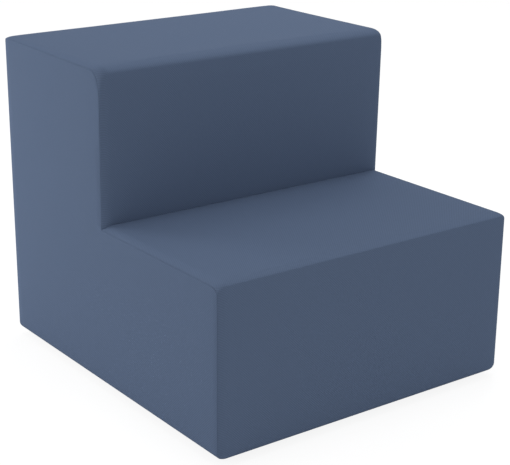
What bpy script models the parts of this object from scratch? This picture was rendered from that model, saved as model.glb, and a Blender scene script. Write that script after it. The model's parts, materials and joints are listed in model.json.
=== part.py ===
"""Upholstered two-step mounting block: a plywood carcass, foam pads and a sewn cover.

Metres, +Z up. The origin is on the floor under the middle of the block, the front faces -Y,
and +X is the right-hand side as seen from the front.
"""

import math

import bmesh
import bpy
from mathutils import Vector

# The covered block, measured over its cover; heights are taken from the hem
BLOCK_WIDTH = 0.500
BLOCK_DEPTH = 0.552
BLOCK_HEIGHT = 0.4655
LOWER_STEP_HEIGHT = 0.244
UPPER_TREAD_DEPTH = 0.275
RISER_LEAN = 0.004
UPPER_NOSING_RUN = 0.024
UPPER_NOSING_DROP = 0.043
LOWER_NOSING_RUN = 0.0175
LOWER_NOSING_DROP = 0.0095
BACK_EDGE_RUN = 0.004
EDGE_ROLL_RADIUS = 0.012

# Layers, from the outside in
COVER_THICKNESS = 0.0015
HEM_WIDTH = 0.058
TREAD_FOAM = 0.030
WALL_FOAM = 0.016
DECK_BOARD = 0.018
WALL_BOARD = 0.012

# Battens inside the carcass
RAIL_WIDTH = 0.060
RAIL_THICKNESS = 0.018
CORNER_BLOCK = 0.025
LEDGER = 0.025

# Underside
DUST_THICKNESS = 0.0008
DUST_INSET = 0.022
FOOT_HEIGHT = 0.007
FOOT_RADIUS = 0.013
FOOT_TAPER = 0.002
FOOT_RECESS_DEPTH = 0.0035
FOOT_END_DISTANCE = 0.045
FOOT_EDGE_DISTANCE = 0.014

# Screws
SCREW_RADIUS = 0.002
SCREW_HEAD_RADIUS = 0.004
SCREW_HEAD_HEIGHT = 0.0026
SCREW_RIM = 0.0004
SCREW_CROWN_RADIUS = 0.0028
SCREW_TIP = 0.005
SCREW_LENGTH = 0.042
FOOT_SCREW_LENGTH = 0.018
SCREW_END_DISTANCE = 0.050

# Gap left between pieces that touch, and how far a hole is drilled past its screw
CLEARANCE = 0.0003
HOLE_OVERRUN = 0.0012

# Facets of round shapes
NOSING_STEPS = 8
EDGE_STEPS = 4
ROLL_STEPS = 5
SCREW_SIDES = 12
FOOT_SIDES = 24
SMOOTH_ANGLE = math.radians(40)
WELD_DISTANCE = 1e-6

# Places that follow from the sizes above
X_COVER = BLOCK_WIDTH / 2
Y_FRONT = -BLOCK_DEPTH / 2
Y_BACK = BLOCK_DEPTH / 2
Y_CREASE = Y_BACK - UPPER_TREAD_DEPTH
Z_DUST = FOOT_HEIGHT + CLEARANCE
Z_HEM = Z_DUST + DUST_THICKNESS + CLEARANCE
Z_BASE = Z_HEM + COVER_THICKNESS + CLEARANCE
Z_BEND = Z_HEM + EDGE_ROLL_RADIUS
Z_LOWER = Z_HEM + LOWER_STEP_HEIGHT
Z_UPPER = Z_HEM + BLOCK_HEIGHT

# Depths below the cover's face: the foam's face, and the boards behind it
FOAM_DEPTH = COVER_THICKNESS + CLEARANCE
WALL_DEPTH = FOAM_DEPTH + WALL_FOAM + CLEARANCE
DECK_DEPTH = FOAM_DEPTH + TREAD_FOAM + CLEARANCE

X_SIDE = X_COVER - WALL_DEPTH
X_INSIDE = X_SIDE - WALL_BOARD - CLEARANCE
Y_FRONT_BOARD = Y_FRONT + WALL_DEPTH
Y_BACK_BOARD = Y_BACK - WALL_DEPTH
Y_RISER_BOARD = Y_CREASE + WALL_DEPTH
Z_LOWER_DECK = Z_LOWER - DECK_DEPTH
Z_UPPER_DECK = Z_UPPER - DECK_DEPTH
Z_UNDER_LOWER = Z_LOWER_DECK - DECK_BOARD - CLEARANCE
Z_UNDER_UPPER = Z_UPPER_DECK - DECK_BOARD - CLEARANCE
Z_LEDGER = Z_UNDER_LOWER - LEDGER
Z_RAIL_TOP = Z_BASE + RAIL_THICKNESS
Y_INSIDE_FRONT = Y_FRONT_BOARD + WALL_BOARD + CLEARANCE
Y_INSIDE_BACK = Y_BACK_BOARD - WALL_BOARD - CLEARANCE
X_FOOT = X_INSIDE - FOOT_END_DISTANCE
Y_FOOT = Y_INSIDE_BACK - FOOT_EDGE_DISTANCE

SIDES = {"left": -1, "right": 1}
ENDS = {"front": -1, "back": 1}
Y_AXIS, Z_AXIS = 0, 1
BELOW, ABOVE = -1, 1


def clear_scene():
    for thing in list(bpy.data.objects):
        bpy.data.objects.remove(thing, do_unlink=True)


def make_material(name, colour, roughness, metallic=0.0):
    material = bpy.data.materials.new(name)
    material.use_nodes = True
    shader = material.node_tree.nodes["Principled BSDF"]
    shader.inputs["Base Color"].default_value = (*colour, 1.0)
    shader.inputs["Roughness"].default_value = roughness
    shader.inputs["Metallic"].default_value = metallic
    material.diffuse_color = (*colour, 1.0)
    return material


def make_materials():
    return {
        "cover": make_material("coated_fabric", (0.105, 0.146, 0.232), 0.72),
        "foam": make_material("foam", (0.82, 0.76, 0.55), 0.95),
        "plywood": make_material("plywood", (0.66, 0.47, 0.27), 0.65),
        "batten": make_material("pine", (0.72, 0.53, 0.31), 0.7),
        "screw": make_material("zinc_steel", (0.62, 0.62, 0.60), 0.35, 1.0),
        "rubber": make_material("rubber", (0.02, 0.02, 0.02), 0.8),
        "dust": make_material("nonwoven", (0.025, 0.025, 0.028), 0.95),
    }


# Meshes and objects


def place_object(name, mesh, material, parent):
    thing = bpy.data.objects.new(name, mesh)
    bpy.context.scene.collection.objects.link(thing)
    thing.parent = parent
    if material:
        thing.data.materials.append(material)
    return thing


def mesh_from(name, points, faces):
    """A closed mesh with its faces pointing out, smooth except along its sharp edges.

    Points that lie together are joined, so that a row of them can close to a tip.
    """
    model = bmesh.new()
    corners = [model.verts.new(point) for point in points]
    for face in faces:
        model.faces.new([corners[index] for index in face])
    bmesh.ops.remove_doubles(model, verts=model.verts, dist=WELD_DISTANCE)
    bmesh.ops.recalc_face_normals(model, faces=model.faces)
    mesh = bpy.data.meshes.new(name)
    model.to_mesh(mesh)
    model.free()
    mesh.shade_smooth()
    mesh.set_sharp_from_angle(angle=SMOOTH_ANGLE)
    return mesh


def lofted_mesh(name, rings):
    """A solid through closed rings of equally many points, with flat ends."""
    count = len(rings[0])
    points = [point for ring in rings for point in ring]
    faces = [list(range(count)), list(range(len(points) - count, len(points)))]
    for row in range(len(rings) - 1):
        for column in range(count):
            following = (column + 1) % count
            low, high = row * count, (row + 1) * count
            faces.append((low + column, low + following, high + following, high + column))
    return mesh_from(name, points, faces)


def skin_mesh(name, outer, inner, cells):
    """A closed skin: the same cells on an outer and an inner layer, joined round their open edges."""
    count = len(outer)
    edges = {}
    for cell in cells:
        for edge in zip(cell, cell[1:] + cell[:1]):
            edges.setdefault(frozenset(edge), []).append(edge)
    rim = [uses[0] for uses in edges.values() if len(uses) == 1]
    faces = cells + [[count + index for index in cell] for cell in cells]
    faces += [(first, second, count + second, count + first) for first, second in rim]
    return mesh_from(name, outer + inner, faces)


def box_mesh(name, x, y, z):
    corners = [(x[0], y[0]), (x[1], y[0]), (x[1], y[1]), (x[0], y[1])]
    return lofted_mesh(name, [[(*corner, height) for corner in corners] for height in z])


def across_mesh(name, outline, x):
    """A (y, z) outline run along X."""
    return lofted_mesh(name, [[(place, *point) for point in outline] for place in x])


def turned_mesh(name, profile, sides):
    """A solid of revolution about Z from (radius, height) points, the first and last on the axis."""
    rings = [
        [
            (radius * math.cos(turn), radius * math.sin(turn), height)
            for turn in (2 * math.pi * side / sides for side in range(sides))
        ]
        for radius, height in profile[1:-1]
    ]
    points = [point for ring in rings for point in ring]
    first, last = len(points), len(points) + 1
    points += [(0, 0, profile[0][1]), (0, 0, profile[-1][1])]
    faces = []
    for side in range(sides):
        following = (side + 1) % sides
        faces.append((first, side, following))
        for row in range(len(rings) - 1):
            low, high = row * sides, (row + 1) * sides
            faces.append((low + side, low + following, high + following, high + side))
        end = (len(rings) - 1) * sides
        faces.append((last, end + following, end + side))
    return mesh_from(name, points, faces)


def cut_away(target, tools):
    """Cut tool solids from a target, and keep the tools as hidden guides."""
    group = bpy.data.collections.new(f"{target.name}_cutters")
    for tool in tools:
        tool.hide_render = True
        tool.display_type = "WIRE"
        group.objects.link(tool)
    cut = target.modifiers.new("cut", "BOOLEAN")
    cut.operation = "DIFFERENCE"
    cut.operand_type = "COLLECTION"
    cut.collection = group
    cut.solver = "EXACT"


# The block's cross-section


def rounded(corner, before, after, drop, run, steps):
    """A parabola that rounds a corner, from drop short of it to run past it."""
    back = (before - corner).normalized() * drop
    on = (after - corner).normalized() * run
    shares = [step / steps for step in range(steps + 1)]
    return [corner + back * (1 - share) ** 2 + on * share**2 for share in shares]


def cross_section(inset):
    """The lower step, upper step and back as (y, z) lines that follow on from each other.

    They lie at a depth of inset below the cover's face, between the front and the back bottom bend.
    """
    lean = RISER_LEAN / (Z_UPPER - Z_LOWER)
    front, back = Y_FRONT + inset, Y_BACK - inset
    low, top = Z_LOWER - inset, Z_UPPER - inset
    riser_inset = inset * math.hypot(1, lean)
    riser_foot = Y_CREASE + lean * inset + riser_inset
    riser_head = riser_foot - lean * (top - low)
    bottom_front, bottom_back = Vector((front, Z_BEND)), Vector((back, Z_BEND))
    lower_nosing, crease = Vector((front, low)), Vector((riser_foot, low))
    upper_nosing, top_back = Vector((riser_head, top)), Vector((back, top))
    low_curve = (LOWER_NOSING_DROP, LOWER_NOSING_RUN, NOSING_STEPS)
    high_curve = (UPPER_NOSING_DROP, UPPER_NOSING_RUN, NOSING_STEPS)
    edge_curve = (BACK_EDGE_RUN, BACK_EDGE_RUN, EDGE_STEPS)
    lower = [bottom_front, *rounded(lower_nosing, bottom_front, crease, *low_curve), crease]
    upper = [
        crease,
        *rounded(upper_nosing, crease, top_back, *high_curve),
        *rounded(top_back, upper_nosing, bottom_back, *edge_curve),
    ]
    return lower, upper, [upper[-1], bottom_back]


def stepped_line(inset):
    """The whole cross-section as one line from the front bottom bend to the back one."""
    lower, upper, back = cross_section(inset)
    return lower + upper[1:] + back[1:]


def bottom_bend(inset):
    """(Distance in from the outside, height) round a bottom edge, from the underside up to the wall."""
    radius = EDGE_ROLL_RADIUS - inset
    turns = [math.pi / 2 * step / ROLL_STEPS for step in range(ROLL_STEPS)]
    return [
        (EDGE_ROLL_RADIUS - radius * math.sin(turn), Z_BEND - radius * math.cos(turn))
        for turn in turns
    ]


def end_bend(inset, end):
    """The front or back bottom bend as (y, z) points, from the underside up to the wall."""
    return [Vector((end * (Y_BACK - distance), height)) for distance, height in bottom_bend(inset)]


def outline(inset):
    """The whole cross-section with its bottom bends, as one closed outline."""
    front, back = (end_bend(inset, end) for end in ENDS.values())
    return front + stepped_line(inset) + back[::-1]


def trimmed(points, axis, limit, side):
    """The part of an outline that lies on one side of a line."""
    kept = []
    for here, following in zip(points, points[1:] + points[:1]):
        inside = side * (here[axis] - limit)
        then = side * (following[axis] - limit)
        if inside >= 0:
            kept.append(here)
        if inside * then < 0:
            kept.append(here.lerp(following, inside / (inside - then)))
    return kept


def side_roll(depth):
    """Places across one edge, as (x, inset), from the flat of a strip round to the side."""
    radius = EDGE_ROLL_RADIUS - depth
    places = []
    for step in range(ROLL_STEPS + 1):
        turn = math.pi / 2 * step / ROLL_STEPS
        x = X_COVER - EDGE_ROLL_RADIUS + radius * math.sin(turn)
        places.append((x, EDGE_ROLL_RADIUS - radius * math.cos(turn)))
    return places


# Sewn cover


def lower_step_line(inset):
    line = cross_section(inset)[0]
    return end_bend(inset, ENDS["front"]) + line[:-1] + [line[-1] - Vector((CLEARANCE, 0))]


def upper_step_line(inset):
    line = cross_section(inset)[1]
    up_riser = (line[1] - line[0]).normalized()
    return [line[0] + up_riser * CLEARANCE] + line[1:]


def back_line(inset):
    top, bottom = cross_section(inset)[2]
    return end_bend(inset, ENDS["back"]) + [bottom, top - Vector((0, CLEARANCE))]


def strip_mesh(name, line, hem_end):
    """A strip of cover that runs across the block and rolls over both side edges.

    A strip with a hem end is turned in under the block where its line starts, between the rolls.
    """
    layers = []
    for depth in (0, COVER_THICKNESS):
        half = [[(x, *point) for point in line(inset)] for x, inset in side_roll(depth)]
        mirrored = [[(-x, y, z) for x, y, z in column] for column in half[::-1]]
        layer = [point for column in mirrored + half for point in column]
        if hem_end:
            x, y = X_COVER - HEM_WIDTH - CLEARANCE, hem_end * (Y_BACK - HEM_WIDTH)
            layer += [(-x, y, Z_HEM + depth), (x, y, Z_HEM + depth)]
        layers.append(layer)
    rows, columns = len(half[0]), 2 * len(half)
    cells = []
    for column in range(columns - 1):
        for low in range(column * rows, column * rows + rows - 1):
            cells.append([low, low + 1, low + 1 + rows, low + rows])
    if hem_end:
        left, right = (len(half) - 1) * rows, len(half) * rows
        cells.append([left, right, columns * rows + 1, columns * rows])
    return skin_mesh(name, *layers, cells)


def panel_mesh(name, sign):
    """A stepped side panel, bent in along its bottom edge to a hem under the block."""
    stepped = stepped_line(EDGE_ROLL_RADIUS + CLEARANCE)
    layers = []
    for depth in (0, COVER_THICKNESS):
        layer = [(sign * (X_COVER - depth), *point) for point in stepped]
        for distance, height in bottom_bend(depth)[::-1]:
            layer += [(sign * (X_COVER - distance), stepped[end].x, height) for end in (0, -1)]
        half_hem = Y_BACK - HEM_WIDTH - CLEARANCE
        x = sign * (X_COVER - HEM_WIDTH)
        layer += [(x, end * half_hem, Z_HEM + depth) for end in ENDS.values()]
        layers.append(layer)
    wall = list(range(len(stepped)))
    cells = [wall]
    front, back = wall[0], wall[-1]
    for following in range(len(stepped), len(layer), 2):
        cells.append([front, back, following + 1, following])
        front, back = following, following + 1
    return skin_mesh(name, *layers, cells)


def make_cover(materials, parent):
    strips = {
        "cover_lower_step": (lower_step_line, ENDS["front"]),
        "cover_upper_step": (upper_step_line, None),
        "cover_back": (back_line, ENDS["back"]),
    }
    meshes = {name: strip_mesh(name, *form) for name, form in strips.items()}
    for side, sign in SIDES.items():
        name = f"cover_side_{side}"
        meshes[name] = panel_mesh(name, sign)
    fabric = materials["cover"]
    return {name: place_object(name, mesh, fabric, parent) for name, mesh in meshes.items()}


# Foam pads


def make_foam(materials, parent):
    foam = materials["foam"]
    whole = outline(FOAM_DEPTH)
    under_upper = trimmed(whole, Z_AXIS, Z_UPPER_DECK, BELOW)
    ahead_of_riser = trimmed(under_upper, Y_AXIS, Y_RISER_BOARD - CLEARANCE, BELOW)
    lower = trimmed(ahead_of_riser, Z_AXIS, Z_LOWER - FOAM_DEPTH, BELOW)
    ahead = trimmed(lower, Y_AXIS, Y_FRONT_BOARD - CLEARANCE, BELOW)
    riser_foot = Z_LOWER - FOAM_DEPTH + CLEARANCE
    pads = {
        "foam_upper_tread": trimmed(whole, Z_AXIS, Z_UPPER_DECK + CLEARANCE, ABOVE),
        "foam_upper_riser": trimmed(ahead_of_riser, Z_AXIS, riser_foot, ABOVE),
        "foam_lower_tread": trimmed(lower, Z_AXIS, Z_LOWER_DECK + CLEARANCE, ABOVE),
        "foam_front": trimmed(ahead, Z_AXIS, Z_LOWER_DECK, BELOW),
        "foam_back": trimmed(under_upper, Y_AXIS, Y_BACK_BOARD + CLEARANCE, ABOVE),
    }
    for name, pad in pads.items():
        place_object(name, across_mesh(name, pad, (-X_SIDE, X_SIDE)), foam, parent)
    for side, sign in SIDES.items():
        name = f"foam_side_{side}"
        places = [(X_SIDE + CLEARANCE, FOAM_DEPTH), *side_roll(FOAM_DEPTH)]
        rings = [[(sign * x, *point) for point in outline(inset)] for x, inset in places]
        place_object(name, lofted_mesh(name, rings), foam, parent)


# Plywood carcass and its battens


def make_boards(materials, parent):
    side_outline = [
        (Y_FRONT_BOARD, Z_BASE),
        (Y_FRONT_BOARD, Z_UNDER_LOWER),
        (Y_RISER_BOARD, Z_UNDER_LOWER),
        (Y_RISER_BOARD, Z_UNDER_UPPER),
        (Y_BACK_BOARD, Z_UNDER_UPPER),
        (Y_BACK_BOARD, Z_BASE),
    ]
    between, full = (-X_INSIDE, X_INSIDE), (-X_SIDE, X_SIDE)
    front = (Y_FRONT_BOARD, Y_FRONT_BOARD + WALL_BOARD)
    riser = (Y_RISER_BOARD, Y_RISER_BOARD + WALL_BOARD)
    back = (Y_BACK_BOARD - WALL_BOARD, Y_BACK_BOARD)
    lower_tread = (Y_FRONT_BOARD, Y_RISER_BOARD - CLEARANCE)
    upper_tread = (Y_RISER_BOARD, Y_BACK_BOARD)
    boxes = {
        "front_board": (between, front, (Z_BASE, Z_UNDER_LOWER)),
        "riser_board": (between, riser, (Z_LEDGER, Z_UNDER_UPPER)),
        "back_board": (between, back, (Z_BASE, Z_UNDER_UPPER)),
        "lower_deck": (full, lower_tread, (Z_LOWER_DECK - DECK_BOARD, Z_LOWER_DECK)),
        "upper_deck": (full, upper_tread, (Z_UPPER_DECK - DECK_BOARD, Z_UPPER_DECK)),
    }
    meshes = {name: box_mesh(name, *spans) for name, spans in boxes.items()}
    for side, sign in SIDES.items():
        name = f"side_board_{side}"
        faces = (sign * (X_SIDE - WALL_BOARD), sign * X_SIDE)
        meshes[name] = across_mesh(name, side_outline, faces)
    plywood = materials["plywood"]
    return {name: place_object(name, mesh, plywood, parent) for name, mesh in meshes.items()}


def make_battens(materials, parent):
    batten = materials["batten"]
    pieces = {}
    across = (-X_INSIDE, X_INSIDE)
    rail_height = (Z_BASE, Z_RAIL_TOP)
    inside = {"front": Y_INSIDE_FRONT, "back": Y_INSIDE_BACK}
    under = {"front": Z_UNDER_LOWER, "back": Z_UNDER_UPPER}
    for end, sign in ENDS.items():
        name = f"base_rail_{end}"
        wall = inside[end]
        mesh = box_mesh(name, across, (wall, wall - sign * RAIL_WIDTH), rail_height)
        pieces[name] = place_object(name, mesh, batten, parent)
    between_rails = (
        Y_INSIDE_FRONT + RAIL_WIDTH + CLEARANCE,
        Y_INSIDE_BACK - RAIL_WIDTH - CLEARANCE,
    )
    for side, sign in SIDES.items():
        name = f"base_rail_{side}"
        width = (sign * X_INSIDE, sign * (X_INSIDE - RAIL_WIDTH))
        mesh = box_mesh(name, width, between_rails, rail_height)
        pieces[name] = place_object(name, mesh, batten, parent)
        for end, direction in ENDS.items():
            name = f"corner_block_{end}_{side}"
            wall = inside[end]
            mesh = box_mesh(
                name,
                (sign * X_INSIDE, sign * (X_INSIDE - CORNER_BLOCK)),
                (wall, wall - direction * CORNER_BLOCK),
                (Z_RAIL_TOP + CLEARANCE, under[end]),
            )
            pieces[name] = place_object(name, mesh, batten, parent)
    ledge = (Y_RISER_BOARD - CLEARANCE - LEDGER, Y_RISER_BOARD - CLEARANCE)
    mesh = box_mesh("riser_ledger", across, ledge, (Z_LEDGER, Z_UNDER_LOWER))
    pieces["riser_ledger"] = place_object("riser_ledger", mesh, batten, parent)
    return pieces


# Screws, driven along their own -Z


def screw_profile(spare, overrun):
    """A countersunk screw with its head flush at height 0, or its hole where it has room to spare."""
    shank = SCREW_RADIUS + spare
    head = SCREW_HEAD_RADIUS + spare
    return [
        (0, overrun),
        (head, overrun),
        (head, -SCREW_RIM),
        (shank, -SCREW_HEAD_HEIGHT),
        (shank, SCREW_TIP - SCREW_LENGTH),
        (0, -SCREW_LENGTH - overrun),
    ]


def deck_screws():
    """Place and turn of each screw that holds a deck on a side board, with the boards it joins."""
    decks = {
        "lower": (Z_LOWER_DECK, Y_FRONT_BOARD, Y_RISER_BOARD),
        "upper": (Z_UPPER_DECK, Y_RISER_BOARD, Y_BACK_BOARD),
    }
    rows = []
    for deck, (height, front, back) in decks.items():
        for side, sign in SIDES.items():
            x = sign * (X_SIDE - WALL_BOARD / 2)
            joined = (f"{deck}_deck", f"side_board_{side}")
            for end, y in (("front", front + SCREW_END_DISTANCE), ("back", back - SCREW_END_DISTANCE)):
                place = (x, y, height - CLEARANCE)
                rows.append((f"{deck}_deck_screw_{end}_{side}", place, (0, 0, 0), joined))
    return rows


def side_screws():
    """The same for the screws that go through the side boards into the upright boards."""
    mid_upper = (Z_LOWER_DECK + Z_UNDER_UPPER) / 2
    uprights = {
        "front_board": (Y_FRONT_BOARD + WALL_BOARD / 2, Z_UNDER_LOWER, ("low", "high")),
        "back_board": (Y_BACK_BOARD - WALL_BOARD / 2, Z_UNDER_UPPER, ("low", "high")),
        "riser_board": (Y_RISER_BOARD + WALL_BOARD / 2, Z_UNDER_UPPER, ("mid",)),
    }
    rows = []
    for board, (y, top, levels) in uprights.items():
        heights = {
            "low": Z_BASE + SCREW_END_DISTANCE,
            "mid": mid_upper,
            "high": top - SCREW_END_DISTANCE,
        }
        for side, sign in SIDES.items():
            joined = (board, f"side_board_{side}")
            for level in levels:
                place = (sign * (X_SIDE - CLEARANCE), y, heights[level])
                turn = (0, sign * math.pi / 2, 0)
                rows.append((f"{board}_screw_{level}_{side}", place, turn, joined))
    return rows


def make_carcass_screws(boards, materials, parent):
    screw = turned_mesh("carcass_screw", screw_profile(0, 0), SCREW_SIDES)
    screw.materials.append(materials["screw"])
    hole = turned_mesh("carcass_screw_hole", screw_profile(CLEARANCE, HOLE_OVERRUN), SCREW_SIDES)
    holes = {name: [] for name in boards}
    for name, place, turn, joined in deck_screws() + side_screws():
        driven = place_object(name, screw, None, parent)
        drilled = place_object(f"{name}_hole", hole, None, parent)
        for thing in (driven, drilled):
            thing.location = place
            thing.rotation_euler = turn
        for board in joined:
            holes[board].append(drilled)
    for board, cutters in holes.items():
        cut_away(boards[board], cutters)


# Underside: dust cover, feet and their screws


def foot_profile():
    """A tapered foot; its screw hole is cut later."""
    return [
        (0, 0),
        (FOOT_RADIUS - FOOT_TAPER, 0),
        (FOOT_RADIUS, FOOT_HEIGHT - FOOT_TAPER),
        (FOOT_RADIUS, FOOT_HEIGHT),
        (0, FOOT_HEIGHT),
    ]


def foot_screw_profile():
    """A pan-head screw, its head seated at height 0."""
    return [
        (0, SCREW_HEAD_HEIGHT),
        (SCREW_CROWN_RADIUS, SCREW_HEAD_HEIGHT),
        (SCREW_HEAD_RADIUS, SCREW_HEAD_HEIGHT / 2),
        (SCREW_HEAD_RADIUS, 0),
        (SCREW_RADIUS, 0),
        (SCREW_RADIUS, SCREW_TIP - FOOT_SCREW_LENGTH),
        (0, -FOOT_SCREW_LENGTH),
    ]


def foot_hole_profile():
    """The recess for that screw's head, and the hole for its shank."""
    recess = SCREW_HEAD_RADIUS + CLEARANCE
    shank = SCREW_RADIUS + CLEARANCE
    return [
        (0, FOOT_RECESS_DEPTH + HOLE_OVERRUN),
        (recess, FOOT_RECESS_DEPTH + HOLE_OVERRUN),
        (recess, -CLEARANCE),
        (shank, -CLEARANCE),
        (shank, SCREW_TIP - FOOT_SCREW_LENGTH),
        (0, -FOOT_SCREW_LENGTH - HOLE_OVERRUN),
    ]


def make_underside(cover, battens, materials, parent):
    half_x, half_y = X_COVER - DUST_INSET, Y_BACK - DUST_INSET
    heights = (Z_DUST, Z_DUST + DUST_THICKNESS)
    sheet = box_mesh("dust_cover", (-half_x, half_x), (-half_y, half_y), heights)
    dust = place_object("dust_cover", sheet, materials["dust"], parent)
    foot = turned_mesh("foot", foot_profile(), FOOT_SIDES)
    foot.materials.append(materials["rubber"])
    screw = turned_mesh("foot_screw", foot_screw_profile(), SCREW_SIDES)
    screw.materials.append(materials["screw"])
    hole = turned_mesh("foot_screw_hole", foot_hole_profile(), SCREW_SIDES)
    hems = {"front": cover["cover_lower_step"], "back": cover["cover_back"]}
    holes = []
    for end, direction in ENDS.items():
        cutters = []
        for side, sign in SIDES.items():
            x, y = sign * X_FOOT, direction * Y_FOOT
            standing = place_object(f"foot_{end}_{side}", foot, None, parent)
            standing.location = (x, y, 0)
            driven = place_object(f"foot_screw_{end}_{side}", screw, None, parent)
            drilled = place_object(f"foot_screw_{end}_{side}_hole", hole, None, parent)
            for thing in (driven, drilled):
                thing.location = (x, y, FOOT_RECESS_DEPTH)
                thing.rotation_euler = (math.pi, 0, 0)
            cut_away(standing, [drilled])
            cutters.append(drilled)
        cut_away(hems[end], cutters)
        cut_away(battens[f"base_rail_{end}"], cutters)
        holes += cutters
    cut_away(dust, holes)


def main():
    clear_scene()
    materials = make_materials()
    block = bpy.data.objects.new("mounting_block", None)
    bpy.context.scene.collection.objects.link(block)
    cover = make_cover(materials, block)
    make_foam(materials, block)
    boards = make_boards(materials, block)
    battens = make_battens(materials, block)
    make_carcass_screws(boards, materials, block)
    make_underside(cover, battens, materials, block)


main()
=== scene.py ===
"""Looks of an upholstered two-step mounting block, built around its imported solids.

Metres, +Z up, in the solids' own frame: the front faces -Y, +X is the right-hand side as seen
from the front, and the origin is on the floor under the middle.
"""

import json
import math

import bmesh
import bpy
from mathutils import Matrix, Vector
from mathutils.geometry import delaunay_2d_cdt


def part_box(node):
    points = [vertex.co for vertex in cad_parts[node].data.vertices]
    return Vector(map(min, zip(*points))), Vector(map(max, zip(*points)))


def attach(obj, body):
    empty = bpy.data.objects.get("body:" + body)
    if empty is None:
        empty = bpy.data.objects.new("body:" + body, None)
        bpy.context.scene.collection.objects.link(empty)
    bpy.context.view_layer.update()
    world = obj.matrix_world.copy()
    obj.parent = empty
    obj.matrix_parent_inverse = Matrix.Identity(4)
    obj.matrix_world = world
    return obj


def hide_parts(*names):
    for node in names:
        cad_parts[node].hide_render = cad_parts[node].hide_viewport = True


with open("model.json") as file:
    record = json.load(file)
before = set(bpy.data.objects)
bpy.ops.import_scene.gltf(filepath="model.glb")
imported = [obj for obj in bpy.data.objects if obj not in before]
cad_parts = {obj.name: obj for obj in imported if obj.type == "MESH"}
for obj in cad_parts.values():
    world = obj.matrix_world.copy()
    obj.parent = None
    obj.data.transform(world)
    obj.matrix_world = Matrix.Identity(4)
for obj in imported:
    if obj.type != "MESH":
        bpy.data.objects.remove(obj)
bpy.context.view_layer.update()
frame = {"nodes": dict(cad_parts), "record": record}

# Sizes read from the frame
LOWER_LOW, LOWER_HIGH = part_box("cover_lower_step")
X_COVER = LOWER_HIGH.x
Y_FRONT = LOWER_LOW.y
Y_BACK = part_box("cover_back")[1].y
Z_HEM = LOWER_LOW.z
Z_LOWER = LOWER_HIGH.z
Z_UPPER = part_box("cover_upper_step")[1].z
Y_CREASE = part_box("riser_board")[0].y - (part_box("front_board")[0].y - Y_FRONT)
DUST_LOW, DUST_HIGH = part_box("dust_cover")

# Forms of the cover's edges
RISER_LEAN = 0.004
UPPER_NOSING_DROP = 0.010
UPPER_CORNER_DROP = 0.043
UPPER_NOSING_RUN = 0.024
LOWER_NOSING_DROP = 0.0035
LOWER_CORNER_DROP = 0.0095
LOWER_NOSING_RUN = 0.0175
BACK_EDGE_RUN = 0.004
BACK_SEAM_DROP = 0.012
SEAM_INSET = 0.007
ROLL_TURN = math.radians(55)
BACK_SHARE = 0.25
CORNER_POWER = 2
BOTTOM_BEND = 0.012
HEM_WIDTH = 0.058

# How the cover is sewn
CLOTH_THICKNESS = 0.0009
SEAM_GAP = 0.00003
SEAM_FILLET = 0.0003
SEAM_DEPTH = 0.0017
RIGHT_ANGLE = math.pi / 2
CREASE_TURN = math.pi / 4

# Fineness of the cloth's meshes
CLOTH_STEP = 0.008
PANEL_STEP = 0.010
NOSING_STEPS = 16
EDGE_STEPS = 6
ROLL_STEPS = 6
BEND_STEPS = 8
HEM_STEPS = 3
FILLET_STEPS = 2
WELD_DISTANCE = 1e-6
SMOOTH_ANGLE = math.radians(40)

# Cloth simulation
CLOTH_QUALITY = 6
CLOTH_MASS = 0.25
CLOTH_TENSION = 30
CLOTH_SHEAR = 12
CLOTH_BENDING = 1.0
SWELL_FRAMES = 14
SWELL_PRESSURE = 0.6
SWELL_LIMIT = 0.0009
SAG_FRAMES = 24
SAG_LIMIT = 0.0032

# Foam pads
FOAM_BEVEL = 0.002
FOAM_BEVEL_STEPS = 3
FOAM_FLAT_ANGLE = math.radians(1)
FOAM_BEVEL_ANGLE = math.radians(35)

# Underside
DUST_THICKNESS = 0.0003
DUST_FOLD = 0.012
DUST_FOLD_SLACK = 1.1
DUST_STEP = 0.012
STAPLE_INSET = 0.006
STAPLE_SPACING = 0.065
STAPLE_WIDTH = 0.011
STAPLE_LEG = 0.003
STAPLE_BEND = 0.0008
STAPLE_WIRE = 0.00035

# Finishes
CLOTH_UV = "cloth"
WEAVE_PITCH = 0.0034
PLY_PITCH = 0.0028
DOT_PITCH = 0.0022
COVER_COLOUR = (0.105, 0.146, 0.232)
FOAM_COLOUR = (0.82, 0.76, 0.55)
PLYWOOD_COLOUR = (0.66, 0.47, 0.27)
PINE_COLOUR = (0.72, 0.53, 0.31)
ZINC_COLOUR = (0.62, 0.62, 0.60)
RUBBER_COLOUR = (0.020, 0.020, 0.020)
NONWOVEN_COLOUR = (0.025, 0.025, 0.028)

# Camera, taken from the photograph's outline
CAMERA_AZIMUTH = math.radians(-35.2715)
CAMERA_ELEVATION = math.radians(19.1506)
CAMERA_DISTANCE = 2.0950
CAMERA_RIGHT = -0.0446
CAMERA_UP = 0.1624
CAMERA_LENS = 96.52
CAMERA_SHIFT = (0.0678, 0.0191)

# Studio
WORLD_LIGHT = 0.50
FLOOR_HALF = 8.0
FLOOR_BOUNCE = 0.9
FLOOR_GLOW = 0.88
FLOOR_SHADOW = 0.2
LAMP_DISTANCE = 3.0
LAMP_SIZE = 1.2
LAMP_AIM = Vector((0, 0, 0.24))

# Each lamp's degrees round from the front towards the right, degrees up, and watts
LAMPS = {
    "overhead": (0, 88, 22),
    "left_behind": (214, 7, 44),
    "right_behind": (120, 52, 11),
    "front": (10, 12, 5),
}

SIDES = {"left": -1, "right": 1}
FRONT, BACK = -1, 1
ALONG_Y = Vector((1, 0))
UP_Z = Vector((0, 1))


# Lines and curves


def between(start, end, count):
    """The points that cut the way from start to end into count equal steps, without the ends."""
    return [start.lerp(end, step / count) for step in range(1, count)]


def steps_for(length, spacing):
    return max(1, round(length / spacing))


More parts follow.
